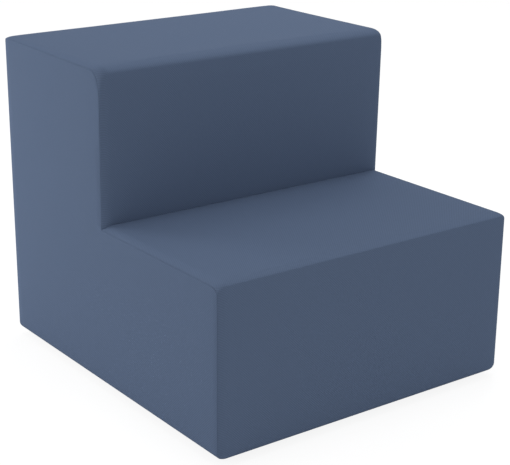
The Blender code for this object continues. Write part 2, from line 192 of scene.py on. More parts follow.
def rounded(corner, before, after, drop, run, steps):
    """A parabola that rounds a corner, from drop short of it to run past it."""
    back = (before - corner).normalized() * drop
    on = (after - corner).normalized() * run
    shares = [step / steps for step in range(steps + 1)]
    return [corner + back * (1 - share) ** 2 + on * share**2 for share in shares]


def running_lengths(points):
    """How far along a line each of its points lies."""
    lengths = [0.0]
    for here, following in zip(points, points[1:]):
        lengths.append(lengths[-1] + (following - here).length)
    return lengths


def tuck(corner, heading, inward, turn, skin):
    """Where cloth turns into a seam: a small bend, then the end of its allowance.

    The corner is where its two straight faces would meet. skin is the depth below the face.
    """
    slant = math.tan(turn / 2)
    radius = max(SEAM_FILLET - skin, 0)
    start = corner + (inward - heading * slant) * skin - heading * slant * radius
    points = []
    for step in range(FILLET_STEPS + 1):
        angle = turn * step / FILLET_STEPS
        points.append(start + (heading * math.sin(angle) + inward * (1 - math.cos(angle))) * radius)
    along = heading * math.cos(turn) + inward * math.sin(turn)
    across = inward * math.cos(turn) - heading * math.sin(turn)
    points.append(corner + along * SEAM_DEPTH + across * skin)
    return points


# The block's cross-section, as (y, z)

Z_BEND = Z_HEM + BOTTOM_BEND
ROLL_RADIUS = SEAM_INSET / (1 - math.cos(ROLL_TURN))
ROLL_WIDTH = ROLL_RADIUS * math.sin(ROLL_TURN)
FRONT_ROWS = steps_for(Z_LOWER - LOWER_NOSING_DROP - Z_BEND, CLOTH_STEP)
TREAD_ROWS = steps_for(Y_CREASE - Y_FRONT - LOWER_NOSING_RUN, CLOTH_STEP)
RISER_ROWS = steps_for(Z_UPPER - UPPER_NOSING_DROP - Z_LOWER, CLOTH_STEP)
TOP_ROWS = steps_for(Y_BACK - Y_CREASE - UPPER_NOSING_RUN - BACK_EDGE_RUN, CLOTH_STEP)
BACK_ROWS = steps_for(Z_UPPER - BACK_SEAM_DROP - Z_BEND, CLOTH_STEP)


class Section:
    """The cross-section at an inset into the side roll, and at a depth of skin below the face."""

    def __init__(self, inset, skin):
        lean = RISER_LEAN / (Z_UPPER - Z_LOWER)
        depth = inset + skin
        self.front = Y_FRONT + depth
        back_inset = inset * BACK_SHARE
        self.back = Y_BACK - back_inset - skin
        self.low = Z_LOWER - depth
        self.top = Z_UPPER - depth
        foot = Y_CREASE + depth * (lean + math.hypot(1, lean))
        head = foot - lean * (self.top - self.low)
        self.bottom_front = Vector((self.front, Z_BEND))
        self.bottom_back = Vector((self.back, Z_BEND))
        self.crease = Vector((foot, self.low))
        self.up_riser = Vector((-lean, 1)).normalized()
        self.into_riser = Vector((1, lean)).normalized()
        nosing = Vector((self.front, self.low))
        share = (inset / SEAM_INSET) ** CORNER_POWER
        drop = LOWER_NOSING_DROP + (LOWER_CORNER_DROP - LOWER_NOSING_DROP) * share
        low_form = (drop, LOWER_NOSING_RUN, NOSING_STEPS)
        self.lower_nosing = rounded(nosing, self.bottom_front, self.crease, *low_form)
        nosing = Vector((head, self.top))
        top_back = Vector((self.back, Z_UPPER - back_inset - skin))
        drop = UPPER_NOSING_DROP + (UPPER_CORNER_DROP - UPPER_NOSING_DROP) * share
        high_form = (drop, UPPER_NOSING_RUN, NOSING_STEPS)
        self.upper_nosing = rounded(nosing, self.crease, top_back, *high_form)
        edge_form = (BACK_EDGE_RUN, BACK_EDGE_RUN, EDGE_STEPS)
        self.back_edge = rounded(top_back, nosing, self.bottom_back, *edge_form)
        self.back_seam = top_back - UP_Z * BACK_SEAM_DROP


def lower_rows(inset, skin):
    """The front and the lower tread, from the bottom bend to the crease's seam."""
    at = Section(inset, skin)
    corner = Section(inset, 0).crease - ALONG_Y * SEAM_GAP
    seam = tuck(corner, ALONG_Y, -UP_Z, CREASE_TURN, skin)
    front = between(at.bottom_front, at.lower_nosing[0], FRONT_ROWS)
    tread = between(at.lower_nosing[-1], seam[0], TREAD_ROWS)
    return [at.bottom_front, *front, *at.lower_nosing, *tread, *seam]


def upper_rows(inset, skin):
    """The upper riser and tread, from the crease's seam to the one below the top back edge."""
    at, face = Section(inset, skin), Section(inset, 0)
    corner = face.crease + face.up_riser * SEAM_GAP
    foot = tuck(corner, -face.up_riser, face.into_riser, CREASE_TURN, skin)[::-1]
    seam = tuck(face.back_seam + UP_Z * SEAM_GAP, -UP_Z, -ALONG_Y, RIGHT_ANGLE, skin)
    riser = between(foot[-1], at.upper_nosing[0], RISER_ROWS)
    tread = between(at.upper_nosing[-1], at.back_edge[0], TOP_ROWS)
    return [*foot, *riser, *at.upper_nosing, *tread, *at.back_edge, *seam]


def back_rows(inset, skin):
    """The back, from the bottom bend to its seam."""
    at, face = Section(inset, skin), Section(inset, 0)
    seam = tuck(face.back_seam - UP_Z * SEAM_GAP, UP_Z, -ALONG_Y, RIGHT_ANGLE, skin)
    return [at.bottom_back, *between(at.bottom_back, seam[0], BACK_ROWS), *seam]


def panel_outline(skin):
    """The side panel's edge at a depth of skin inside the roll, from bottom front to bottom back."""
    at = Section(SEAM_INSET, skin)
    front = between(at.bottom_front, at.lower_nosing[0], FRONT_ROWS)
    tread = between(at.lower_nosing[-1], at.crease, TREAD_ROWS)
    riser = between(at.crease, at.upper_nosing[0], RISER_ROWS)
    top = between(at.upper_nosing[-1], at.back_edge[0], TOP_ROWS)
    back = between(at.back_edge[-1], at.bottom_back, BACK_ROWS)
    rise = [at.bottom_front, *front, *at.lower_nosing, *tread, at.crease]
    return [*rise, *riser, *at.upper_nosing, *top, *at.back_edge, *back, at.bottom_back]


# Places across a strip and under its hem


class Column:
    """A place across a strip: flat, on the side roll, or tucked into the side seam."""

    def __init__(self, x, inset, skin, turn, sunk=0.0, past=0.0):
        self.x, self.inset, self.skin = x, inset, skin
        self.turn, self.sunk, self.past = turn, sunk, past


def half_columns(skin):
    """The columns from the middle of a strip to its right-hand seam."""
    edge = X_COVER - ROLL_WIDTH
    count = steps_for(edge, CLOTH_STEP)
    columns = [Column(edge * step / count, 0, skin, 0) for step in range(count + 1)]
    for step in range(1, ROLL_STEPS):
        turn = ROLL_TURN * step / ROLL_STEPS
        x = edge + (ROLL_RADIUS - skin) * math.sin(turn)
        columns.append(Column(x, ROLL_RADIUS * (1 - math.cos(turn)), skin * math.cos(turn), turn))
    heading = Vector((math.cos(ROLL_TURN), math.sin(ROLL_TURN)))
    inward = Vector((-heading.y, heading.x))
    centre = Vector((edge, ROLL_RADIUS))
    corner = centre - inward * ROLL_RADIUS - heading * SEAM_GAP
    seam = centre - inward * (ROLL_RADIUS - skin)
    for x, inset in tuck(corner, heading, inward, math.pi - ROLL_TURN, skin):
        columns.append(Column(x, inset, 0, ROLL_TURN, seam.x - x, inset - seam.y))
    return columns


def hem_line(skin):
    """(Distance in from the outside, height, uprightness) round the bottom bend and along the hem."""
    places = []
    radius = BOTTOM_BEND - skin
    for step in range(1, BEND_STEPS + 1):
        turn = RIGHT_ANGLE * step / BEND_STEPS
        drop = radius * math.sin(turn)
        places.append((BOTTOM_BEND - radius * math.cos(turn), Z_BEND - drop, math.cos(turn)))
    for step in range(1, HEM_STEPS + 1):
        distance = BOTTOM_BEND + (HEM_WIDTH - BOTTOM_BEND) * step / HEM_STEPS
        places.append((distance, Z_HEM + skin, 0.0))
    return places


def end_depth(end, distance, turn):
    """How deep in from the front or back the rolled corner is, at a turn round it from the end."""
    left = max(ROLL_WIDTH - distance, 0) / ROLL_WIDTH
    depth = distance + ROLL_RADIUS * (1 - math.cos(turn)) * left
    if end == FRONT:
        return depth
    if distance < ROLL_WIDTH:
        return depth * BACK_SHARE
    hem_share = (distance - ROLL_WIDTH) / (HEM_WIDTH - ROLL_WIDTH)
    return ROLL_WIDTH * BACK_SHARE + (HEM_WIDTH - ROLL_WIDTH * BACK_SHARE) * hem_share


def hem_point(column, end, distance, height, upright):
    """A strip's place at a distance in from the outside, in plan round the rolled corner."""
    wall = Y_FRONT if end == FRONT else Y_BACK
    edge = X_COVER - max(ROLL_WIDTH, distance)
    if column.turn:
        share = math.sin(column.turn) / math.sin(ROLL_TURN)
        x = edge + (X_COVER - distance - edge) * share - column.sunk * upright
    else:
        x = column.x * edge / (X_COVER - ROLL_WIDTH)
    depth = end_depth(end, distance, column.turn) + column.past * upright
    return Vector((x, wall - end * depth, height))


# Cloth


class Sheet:
    """Cloth as two layers of points, its face and its back, with one set of cells for both."""

    def __init__(self):
        self.face, self.back, self.flat, self.held, self.cells = [], [], [], [], []

    def add(self, face, back, flat, held):
        self.face.append(Vector(face))
        self.back.append(Vector(back))
        self.flat.append(flat)
        self.held.append(held)
        return len(self.face) - 1

    def fill(self, rows):
        """Cells between rows of point numbers."""
        for row, following in zip(rows, rows[1:]):
            for index in range(len(row) - 1):
                self.cells.append((row[index], row[index + 1], following[index + 1], following[index]))

    def tidy(self):
        """Join points that lie together, drop cells that vanish, and turn the cells outward."""
        known, number = {}, []
        kept = Sheet()
        for face, back, flat, held in zip(self.face, self.back, self.flat, self.held):
            key = tuple(round(value / WELD_DISTANCE) for value in (*face, *back))
            if key not in known:
                known[key] = kept.add(face, back, flat, held)
            number.append(known[key])
        outward = 0.0
        for cell in self.cells:
            corners = list(dict.fromkeys(number[index] for index in cell))
            if len(corners) < 3:
                continue
            kept.cells.append(corners)
            a, b, c = (kept.face[index] for index in corners[:3])
            outward += (b - a).cross(c - a).dot(a - kept.back[corners[0]])
        if outward < 0:
            kept.cells = [corners[::-1] for corners in kept.cells]
        return kept

    def rim(self):
        """The edges that belong to one cell only, each in its cell's direction."""
        edges = {}
        for cell in self.cells:
            for first, second in zip(cell, cell[1:] + cell[:1]):
                edges.setdefault(frozenset((first, second)), []).append((first, second))
        return [uses[0] for uses in edges.values() if len(uses) == 1]

    def move(self, shifts):
        for index, shift in enumerate(shifts):
            self.face[index] += shift
            self.back[index] += shift


def settle(sheet, frames, pressure, gravity):
    """How far each point moves in a cloth simulation held at the sheet's held points."""
    scene = bpy.context.scene
    mesh = bpy.data.meshes.new("settling")
    mesh.from_pydata(sheet.face, [], sheet.cells)
    piece = bpy.data.objects.new("settling", mesh)
    scene.collection.objects.link(piece)
    group = piece.vertex_groups.new(name="held")
    group.add([index for index, held in enumerate(sheet.held) if held], 1.0, "REPLACE")
    cloth = piece.modifiers.new("cloth", "CLOTH")
    cloth.settings.vertex_group_mass = group.name
    cloth.settings.quality = CLOTH_QUALITY
    cloth.settings.mass = CLOTH_MASS
    cloth.settings.tension_stiffness = CLOTH_TENSION
    cloth.settings.compression_stiffness = CLOTH_TENSION
    cloth.settings.shear_stiffness = CLOTH_SHEAR
    cloth.settings.bending_stiffness = CLOTH_BENDING
    cloth.settings.use_pressure = pressure > 0
    cloth.settings.uniform_pressure_force = pressure
    cloth.settings.effector_weights.gravity = gravity
    cloth.collision_settings.use_collision = False
    cloth.point_cache.frame_start = 1
    cloth.point_cache.frame_end = frames
    for number in range(1, frames + 1):
        scene.frame_set(number)
    settled = piece.evaluated_get(bpy.context.evaluated_depsgraph_get()).data
    shifts = [vertex.co - start for vertex, start in zip(settled.vertices, sheet.face)]
    bpy.data.objects.remove(piece)
    bpy.data.meshes.remove(mesh)
    scene.frame_set(1)
    return shifts


def swell(sheet):
    """The foam pushes the cover's free faces out a little, up to a limit."""
    shifts = []
    free = settle(sheet, SWELL_FRAMES, SWELL_PRESSURE, 0)
    for shift, face, back in zip(free, sheet.face, sheet.back):
        outward = (face - back).normalized()
        rise = max(shift.dot(outward), 0)
        shifts.append(outward * SWELL_LIMIT * (1 - math.exp(-rise / SWELL_LIMIT)))
    sheet.move(shifts)


def sag(sheet):
    """A loose sheet hangs down a little between the places that hold it."""
    shifts = []
    for shift in settle(sheet, SAG_FRAMES, 0, 1):
        fall = max(-shift.z, 0)
        shifts.append(Vector((0, 0, -SAG_LIMIT * (1 - math.exp(-fall / SAG_LIMIT)))))
    sheet.move(shifts)


def show(piece, material):
    """Link a piece into the scene, with its finish, on the one body that there is."""
    bpy.context.scene.collection.objects.link(piece)
    piece.data.materials.clear()
    piece.data.materials.append(material)
    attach(piece, "root")
    return piece


def smooth_mesh(name, model):
    mesh = bpy.data.meshes.new(name)
    model.to_mesh(mesh)
    model.free()
    mesh.shade_smooth()
    mesh.set_sharp_from_angle(angle=SMOOTH_ANGLE)
    return mesh


def cloth_piece(name, sheet, material):
    """A closed mesh of both layers and the rim between them, with the flat cloth as its UV map."""
    model = bmesh.new()
    flat = model.loops.layers.uv.new(CLOTH_UV)
    count = len(sheet.face)
    points = [model.verts.new(point) for point in sheet.face + sheet.back]
    model.verts.index_update()
    for cell in sheet.cells:
        model.faces.new([points[index] for index in cell])
        model.faces.new([points[count + index] for index in reversed(cell)])
    for first, second in sheet.rim():
        model.faces.new((points[second], points[first], points[count + first], points[count + second]))
    for face in model.faces:
        for loop in face.loops:
            loop[flat].uv = sheet.flat[loop.vert.index % count]
    bmesh.ops.remove_doubles(model, verts=model.verts, dist=WELD_DISTANCE)
    bmesh.ops.recalc_face_normals(model, faces=model.faces)
    return show(bpy.data.objects.new(name, smooth_mesh(name, model)), material)


# The sewn cover


def strip_sheet(rows_at, end=None):
    """A strip that runs across the block, over both side rolls, with a hem where it has an end."""
    layers = []
    for skin in (0, CLOTH_THICKNESS):
        half = []
        for column in half_columns(skin):
            wall = [Vector((column.x, *point)) for point in rows_at(column.inset, column.skin)]
            hem = [hem_point(column, end, *place) for place in hem_line(skin)] if end else []
            half.append(hem[::-1] + wall)
        mirrored = [[Vector((-p.x, p.y, p.z)) for p in line] for line in half[:0:-1]]
        layers.append(mirrored + half)
    face, back = layers
    middle = len(face) // 2
    hem_rows = len(hem_line(0)) if end else 0
    lengths = [running_lengths(line) for line in face]
    halfway = len(face[middle]) // 2
    across = running_lengths([line[halfway] for line in face])
    tucked = FILLET_STEPS + 2
    sheet = Sheet()
    grid = []
    for column, (front, behind) in enumerate(zip(face, back)):
        in_seam = min(column, len(face) - 1 - column) < tucked
        line = []
        for row, (outer, inner) in enumerate(zip(front, behind)):
            held = in_seam or row <= hem_rows or row >= len(front) - tucked
            held = held or (end is None and row < tucked)
            along = lengths[column][row] - lengths[column][halfway]
            line.append(sheet.add(outer, inner, (across[column], along), held))
        grid.append(line)
    sheet.fill(grid)
    return sheet.tidy(), (across[-1], lengths[middle][-1])


def panel_limits(distance):
    """Where the side panel starts and ends along Y, at a distance in from its face."""
    front = Y_FRONT + end_depth(FRONT, distance, ROLL_TURN) + SEAM_GAP
    return front, Y_BACK - end_depth(BACK, distance, ROLL_TURN) - SEAM_GAP


def panel_sheet(side):
    """A stepped side panel, with its edge tucked into the seam and its hem turned under."""
    sheet = Sheet()
    corner = Vector((X_COVER, SEAM_GAP))
    heading, inward = Vector((0, -1)), Vector((-1, 0))
    layers = [tuck(corner, heading, inward, RIGHT_ANGLE, skin) for skin in (0, CLOTH_THICKNESS)]
    rings = []
    for (x, skin), (x_back, skin_back) in zip(*layers):
        pairs = zip(panel_outline(skin), panel_outline(skin_back))
        ring = []
        for front, behind in pairs:
            face, back = (side * x, *front), (side * x_back, *behind)
            ring.append(sheet.add(face, back, (side * front.x, front.y), True))
        rings.append(ring)
    sheet.fill(rings)
    edge = [sheet.face[index].yz for index in rings[0]]
    start, stop = edge[0], edge[-1]
    bottom = between(stop, start, steps_for(stop.x - start.x, CLOTH_STEP))
    loop = edge + bottom
    inside = points_inside(loop, start.x, stop.x)
    count = len(loop)
    rim = [(index, (index + 1) % count) for index in range(count)]
    points, _, cells, origin, _, _ = delaunay_2d_cdt(loop + inside, rim, [], 1, WELD_DISTANCE)
    number = []
    for point, sources in zip(points, origin):
        if sources and sources[0] < len(edge):
            number.append(rings[0][sources[0]])
            continue
        held = bool(sources) and sources[0] < count
        face = (side * X_COVER, *point)
        back = (side * (X_COVER - CLOTH_THICKNESS), *point)
        number.append(sheet.add(face, back, (side * point.x, point.y), held))
    sheet.cells += [[number[index] for index in cell] for cell in cells]
    by_source = {sources[0]: number[index] for index, sources in enumerate(origin) if sources}
    bottom_line = [by_source[index] for index in range(count - 1, len(edge) - 1, -1)]
    front_tuck = [ring[0] for ring in rings[::-1]]
    back_tuck = [ring[-1] for ring in rings]
    add_panel_hem(sheet, side, [*front_tuck, *bottom_line, *back_tuck])
    bend = RIGHT_ANGLE * BOTTOM_BEND
    drop = Z_UPPER - SEAM_INSET - Z_BEND + bend + HEM_WIDTH - BOTTOM_BEND
    first, last = panel_limits(0)
    flat_size = (last - first, drop)
    return sheet.tidy(), flat_size


def points_inside(loop, low_y, high_y):
    """A grid of points inside a panel's outline, clear of its edge."""
    points = []
    for row in range(1, steps_for(Z_UPPER - Z_BEND, PANEL_STEP)):
        for place in range(1, steps_for(high_y - low_y, PANEL_STEP)):
            point = Vector((low_y + place * PANEL_STEP, Z_BEND + row * PANEL_STEP))
            if inside_outline(point, loop, PANEL_STEP / 2):
                points.append(point)
    return points


def inside_outline(point, loop, margin):
    """Whether a point lies inside a closed outline, and at least margin away from it."""
    inside = False
    for here, following in zip(loop, loop[1:] + loop[:1]):
        if (here.y > point.y) != (following.y > point.y):
            share = (point.y - here.y) / (following.y - here.y)
            if point.x < here.x + share * (following.x - here.x):
                inside = not inside
        if from_line(point, here, following) < margin:
            return False
    return inside


def from_line(point, start, end):
    """How far a point lies from the straight line between two others."""
    span = end - start
    share = min(max((point - start).dot(span) / span.length_squared, 0), 1)
    return (point - start - span * share).length


def add_panel_hem(sheet, side, top_row):
    """The bottom bend and the hem below a panel's row of points."""
    first, last = panel_limits(0)
    rows = [top_row]
    dropped = 0.0
    before = Vector((0, Z_BEND))
    for outer, inner in zip(hem_line(0), hem_line(CLOTH_THICKNESS)):
        here = Vector((outer[0], outer[1]))
        dropped += (here - before).length
        before = here
        row = []
        for index in top_row:
            places = []
            for layer, skin, (distance, height, upright) in (
                (sheet.face, 0, outer),
                (sheet.back, CLOTH_THICKNESS, inner),
            ):
                wall = layer[index]
                sunk = X_COVER - skin - abs(wall.x)
                start, stop = panel_limits(distance)
                y = start + (wall.y - first) * (stop - start) / (last - first)
                places.append((side * (X_COVER - distance - sunk * upright), y, height))
            flat = (sheet.flat[index][0], Z_BEND - dropped)
            row.append(sheet.add(*places, flat, True))
        rows.append(row)
    sheet.fill(rows)


def make_cover(material):
    strips = {
        "lower_step": (lower_rows, FRONT, ["foam_front_pad", "foam_lower_tread_pad"]),
        "upper_step": (upper_rows, None, ["foam_upper_riser_pad", "foam_upper_tread_pad"]),
        "back": (back_rows, BACK, ["foam_back_pad"]),
    }
    for name, (rows_at, end, pads) in strips.items():
        sheet, flat = strip_sheet(rows_at, end)
        make_cover_piece(name, sheet, material)
    for name, side in SIDES.items():
        sheet, flat = panel_sheet(side)
        make_cover_piece(f"side_{name}", sheet, material)


def make_cover_piece(name, sheet, material):
    swell(sheet)
    piece = cloth_piece(f"sewn_{name}", sheet, material)
    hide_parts(f"cover_{name}")


# Foam pads


def make_foam(material):
    for name, node in frame["nodes"].items():
        if not name.startswith("foam_"):
            continue
        model = bmesh.new()
        model.from_mesh(node.data)
        bmesh.ops.remove_doubles(model, verts=model.verts, dist=WELD_DISTANCE)
        bmesh.ops.dissolve_limit(
            model, angle_limit=FOAM_FLAT_ANGLE, verts=model.verts, edges=model.edges
        )
        pad = bpy.data.objects.new(f"{name}_pad", smooth_mesh(f"{name}_pad", model))
        show(pad, material)
        soft_edge = pad.modifiers.new("soft_edge", "BEVEL")
        soft_edge.width = FOAM_BEVEL
        soft_edge.segments = FOAM_BEVEL_STEPS
        soft_edge.limit_method = "ANGLE"
        soft_edge.angle_limit = FOAM_BEVEL_ANGLE
        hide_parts(name)


# Underside


def dust_sheet():
    """The dust cover as a flat sheet with its edges folded in above it."""
    sheet = Sheet()
    half_x, half_y = DUST_HIGH.x - DUST_THICKNESS, DUST_HIGH.y - DUST_THICKNESS
    columns, rows = steps_for(2 * half_x, DUST_STEP), steps_for(2 * half_y, DUST_STEP)
    feet_names = [name for name in frame["nodes"] if name.startswith("foot_")]
    feet = [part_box(name) for name in feet_names if "screw" not in name]
    low = DUST_LOW.z
    grid = []
    for row in range(rows + 1):
        line = []
        for column in range(columns + 1):
            x = half_x * (2 * column / columns - 1)
            y = half_y * (2 * row / rows - 1)
            edge = min(half_x - abs(x), half_y - abs(y)) < 2 * DUST_FOLD
            clamped = any(a.x < x < b.x and a.y < y < b.y for a, b in feet)
            place = Vector((x, y, low))
            above = place + Vector((0, 0, DUST_THICKNESS))
            line.append(sheet.add(place, above, (x, y), edge or clamped))
        grid.append(line)
    sheet.fill(grid)
    right, left = [line[-1] for line in grid], [line[0] for line in grid]
    loop = grid[0][:-1] + right[:-1] + grid[-1][:0:-1] + left[:0:-1]
    fold_radius = DUST_THICKNESS * DUST_FOLD_SLACK
    inner = fold_radius - DUST_THICKNESS
    ridge = low + fold_radius * 2
    folds = []
    for turn in (45, 90, 135, 180):
        angle = math.radians(turn)
        out, up = math.sin(angle), 1 - math.cos(angle)
        face_place = (fold_radius * out, low + fold_radius * up)
        back_place = (inner * out, low + fold_radius - inner * math.cos(angle))
        folds.append((*face_place, *back_place))
    folds.append((-DUST_FOLD, ridge, -DUST_FOLD, ridge - DUST_THICKNESS))
    loops = [loop + loop[:1]]
    for out, height, out_back, height_back in folds:
        ring = []
        for index in loop:
            x, y, _ = sheet.face[index]
            at_side = abs(x) > half_x - WELD_DISTANCE
            at_end = abs(y) > half_y - WELD_DISTANCE
            away = Vector((math.copysign(at_side, x), math.copysign(at_end, y)))
            face = (x + away.x * out, y + away.y * out, height)
            back = (x + away.x * out_back, y + away.y * out_back, height_back)
            ring.append(sheet.add(face, back, (x + away.x * DUST_FOLD, y + away.y * DUST_FOLD), True))
        loops.append(ring + ring[:1])
    sheet.fill(loops)
    return sheet.tidy(), (2 * half_x + 2 * DUST_FOLD, 2 * half_y + 2 * DUST_FOLD)


def staple_places():
    """(x, y, direction) of the staples along each edge of the dust cover."""
    half = {"x": DUST_HIGH.x - STAPLE_INSET, "y": DUST_HIGH.y - STAPLE_INSET}
    places = []
    for along, across in (("x", "y"), ("y", "x")):
        count = steps_for(2 * half[along], STAPLE_SPACING)
        for step in range(count):
            place = half[along] * (2 * (step + 0.5) / count - 1)
            for end in (-1, 1):
                spot = {along: place, across: end * half[across]}
                places.append((spot["x"], spot["y"], along))
    return places


def make_staples(material):
    wire = bpy.data.curves.new("staples", "CURVE")
    wire.dimensions = "3D"
    wire.bevel_depth = STAPLE_WIRE
    wire.bevel_resolution = 2
    wire.use_fill_caps = True
    crown = DUST_LOW.z - STAPLE_WIRE
    half = STAPLE_WIDTH / 2
    bend = [math.radians(turn) for turn in (0, 30, 60, 90)]
    leg = [(half, STAPLE_LEG)]
    for angle in bend:
        leg.append((half - STAPLE_BEND * (1 - math.cos(angle)), STAPLE_BEND * (1 - math.sin(angle))))
    path = leg + [(-along, up) for along, up in leg[::-1]]
    for x, y, direction in staple_places():
        line = wire.splines.new("POLY")
        line.points.add(len(path) - 1)
        for point, (along, up) in zip(line.points, path):
            place = (x + along, y) if direction == "x" else (x, y + along)
            point.co = (*place, crown + up, 1)
    guide = bpy.data.objects.new("staple_wire", wire)
    bpy.context.scene.collection.objects.link(guide)
    shaped = guide.evaluated_get(bpy.context.evaluated_depsgraph_get())
    mesh = bpy.data.meshes.new_from_object(shaped)
    bpy.data.objects.remove(guide)
    mesh.shade_smooth()
    show(bpy.data.objects.new("dust_cover_staples", mesh), material)


def make_underside(materials):
    sheet, flat = dust_sheet()
    sag(sheet)
    piece = cloth_piece("stapled_dust_cover", sheet, materials["nonwoven"])
    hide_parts("dust_cover")
    make_staples(materials["zinc_steel"])


# Finishes


class Finish:
    """A material's node tree, built a node at a time."""

    def __init__(self, name, roughness, metallic=0.0, specular=0.5):
        self.material = bpy.data.materials.new(name)
        self.material.use_nodes = True
        self.tree = self.material.node_tree
        self.shader = self.tree.nodes["Principled BSDF"]
        self.shader.inputs["Roughness"].default_value = roughness
        self.shader.inputs["Metallic"].default_value = metallic
        self.shader.inputs["Specular IOR Level"].default_value = specular

    def node(self, kind, inputs=None, **settings):
        made = self.tree.nodes.new(f"ShaderNode{kind}")
        for name, value in settings.items():
            setattr(made, name, value)
        for name, value in (inputs or {}).items():
            self.put(made.inputs[name], value)
        return made

    def put(self, socket, value):
        """Set a socket to a value, or link it to another node's output."""
        if isinstance(value, bpy.types.NodeSocket):
            self.tree.links.new(value, socket)
        else:
            socket.default_value = value

    def math(self, operation, first, second=0.0):
        return self.node("Math", {0: first, 1: second}, operation=operation).outputs[0]

    def place(self):
        return self.node("TexCoord").outputs["Object"]

    def stretched(self, scale):
        return self.node("Mapping", {"Vector": self.place(), "Scale": scale}).outputs["Vector"]

    def noise(self, vector, scale, detail=2.0, roughness=0.5):
        inputs = {"Vector": vector, "Scale": scale, "Detail": detail, "Roughness": roughness}
        return self.node("TexNoise", inputs).outputs["Fac"]

    def spread(self, value, low, high):
        """A 0 to 1 value moved to the range from low to high."""
        inputs = {"Value": value, "To Min": low, "To Max": high}
        return self.node("MapRange", inputs).outputs["Result"]

    def blend(self, share, first, second):
        mixed = self.node("Mix", data_type="RGBA")
        self.put(mixed.inputs["Factor"], share)
        self.put(mixed.inputs["A"], (*first, 1.0) if isinstance(first, tuple) else first)
        self.put(mixed.inputs["B"], (*second, 1.0) if isinstance(second, tuple) else second)
        return mixed.outputs["Result"]

    def colour(self, value):
        self.put(self.shader.inputs["Base Color"], value)

    def roughness(self, value):
        self.put(self.shader.inputs["Roughness"], value)

    def bump(self, height, distance, strength=1.0):
        inputs = {"Height": height, "Distance": distance, "Strength": strength}
        self.put(self.shader.inputs["Normal"], self.node("Bump", inputs).outputs["Normal"])


def shade(colour, factor):
    return tuple(channel * factor for channel in colour)


def coated_fabric():
    """Matte coated cloth with a fine woven grain, darker at the low points of its grain: the yarn
    noise there is the thread's own tone, the weave's hollows are painted shade.
    """
    finish = Finish("coated_fabric", 0.85, specular=0.06)
    flat = finish.node("UVMap", uv_map=CLOTH_UV).outputs["UV"]
    split = finish.node("SeparateXYZ", {"Vector": flat})
    turns = 2 * math.pi / WEAVE_PITCH
    warp = finish.math("SINE", finish.math("MULTIPLY", split.outputs["X"], turns))
    weft = finish.math("SINE", finish.math("MULTIPLY", split.outputs["Y"], turns))
    weave = finish.math("MULTIPLY", warp, weft)
    yarn = finish.noise(flat, 1100, 3.0)
    mottle = finish.noise(finish.place(), 9, 3.0)
    inputs = {"Value": finish.math("ADD", weave, yarn), "From Min": -1.0, "From Max": 2.0}
    raised = finish.node("MapRange", inputs).outputs["Result"]
    weave_top_tone = finish.blend(mottle, shade(COVER_COLOUR, 1.18), shade(COVER_COLOUR, 1.24))
    # Painted shade: the weave's hollows take a darker copy of the cloth's colour, and its tops a
    # lighter one; the yarn noise mixed in is the thread's own tone.
    finish.colour(finish.blend(raised, shade(COVER_COLOUR, 0.78), weave_top_tone))
    finish.roughness(finish.spread(mottle, 0.80, 0.90))
    finish.bump(raised, 0.0002, 0.6)
    return finish.material


def open_cell_foam():
    finish = Finish("open_cell_foam", 0.95, specular=0.1)
    cells = finish.node("TexVoronoi", {"Vector": finish.place(), "Scale": 900}).outputs["Distance"]
    stain = finish.noise(finish.place(), 14, 4.0)
    aged = finish.blend(stain, shade(FOAM_COLOUR, 0.92), FOAM_COLOUR)
    finish.colour(finish.blend(cells, aged, shade(FOAM_COLOUR, 0.75)))
    finish.bump(cells, 0.0006, 0.8)
    return finish.material


def plywood(axis):
    """Board whose plies lie across one axis, as lines on its edges and as grain on its faces."""
    finish = Finish(f"plywood_{'xyz'[axis]}", 0.6)
    normal = finish.node("SeparateXYZ", {"Vector": finish.node("NewGeometry").outputs["Normal"]})
    facing = finish.math("ABSOLUTE", normal.outputs[axis])
    grain_scale = [90.0, 90.0, 90.0]
    grain_scale[2 if axis < 2 else 0] = 6.0
    grain = finish.noise(finish.stretched(grain_scale), 1.0, 6.0, 0.6)
    figure = finish.noise(finish.stretched([value / 8 for value in grain_scale]), 1.0, 2.0)
    face = finish.blend(grain, shade(PLYWOOD_COLOUR, 0.82), shade(PLYWOOD_COLOUR, 1.08))
    face = finish.blend(figure, face, shade(PLYWOOD_COLOUR, 0.95))
    place = finish.node("SeparateXYZ", {"Vector": finish.place()})
    ply = finish.math("SINE", finish.math("MULTIPLY", place.outputs[axis], 2 * math.pi / PLY_PITCH))
    edge = finish.blend(finish.spread(ply, 0.2, 0.8), shade(PLYWOOD_COLOUR, 0.55), PLYWOOD_COLOUR)
    finish.colour(finish.blend(finish.math("GREATER_THAN", facing, 0.5), edge, face))
    finish.roughness(finish.spread(grain, 0.52, 0.7))
    finish.bump(grain, 0.0003, 0.5)
    return finish.material


def pine(axis):
    """Sawn batten with its rings stretched along one axis."""
    finish = Finish(f"pine_{'xyz'[axis]}", 0.65)
    scale = [60.0, 60.0, 60.0]
    scale[axis] = 2.5
    rings = finish.node(
        "TexWave",
        {"Vector": finish.stretched(scale), "Scale": 1.2, "Distortion": 5.0, "Detail": 3.0},
        wave_type="RINGS",
    ).outputs["Fac"]
    fibre = finish.noise(finish.stretched([value * 6 for value in scale]), 1.0, 4.0)
    tone = finish.blend(rings, shade(PINE_COLOUR, 1.05), shade(PINE_COLOUR, 0.78))
    finish.colour(finish.blend(finish.spread(fibre, 0.0, 0.5), tone, shade(PINE_COLOUR, 0.9)))
    finish.roughness(finish.spread(fibre, 0.58, 0.75))
    finish.bump(fibre, 0.0004, 0.5)
    return finish.material


def zinc_steel():
    finish = Finish("zinc_steel", 0.35, metallic=1.0)
    spangle = finish.noise(finish.place(), 700, 2.0)
    finish.colour(finish.blend(spangle, shade(ZINC_COLOUR, 0.85), shade(ZINC_COLOUR, 1.1)))
    finish.roughness(finish.spread(spangle, 0.25, 0.5))
    finish.bump(spangle, 0.00005, 0.4)
    return finish.material


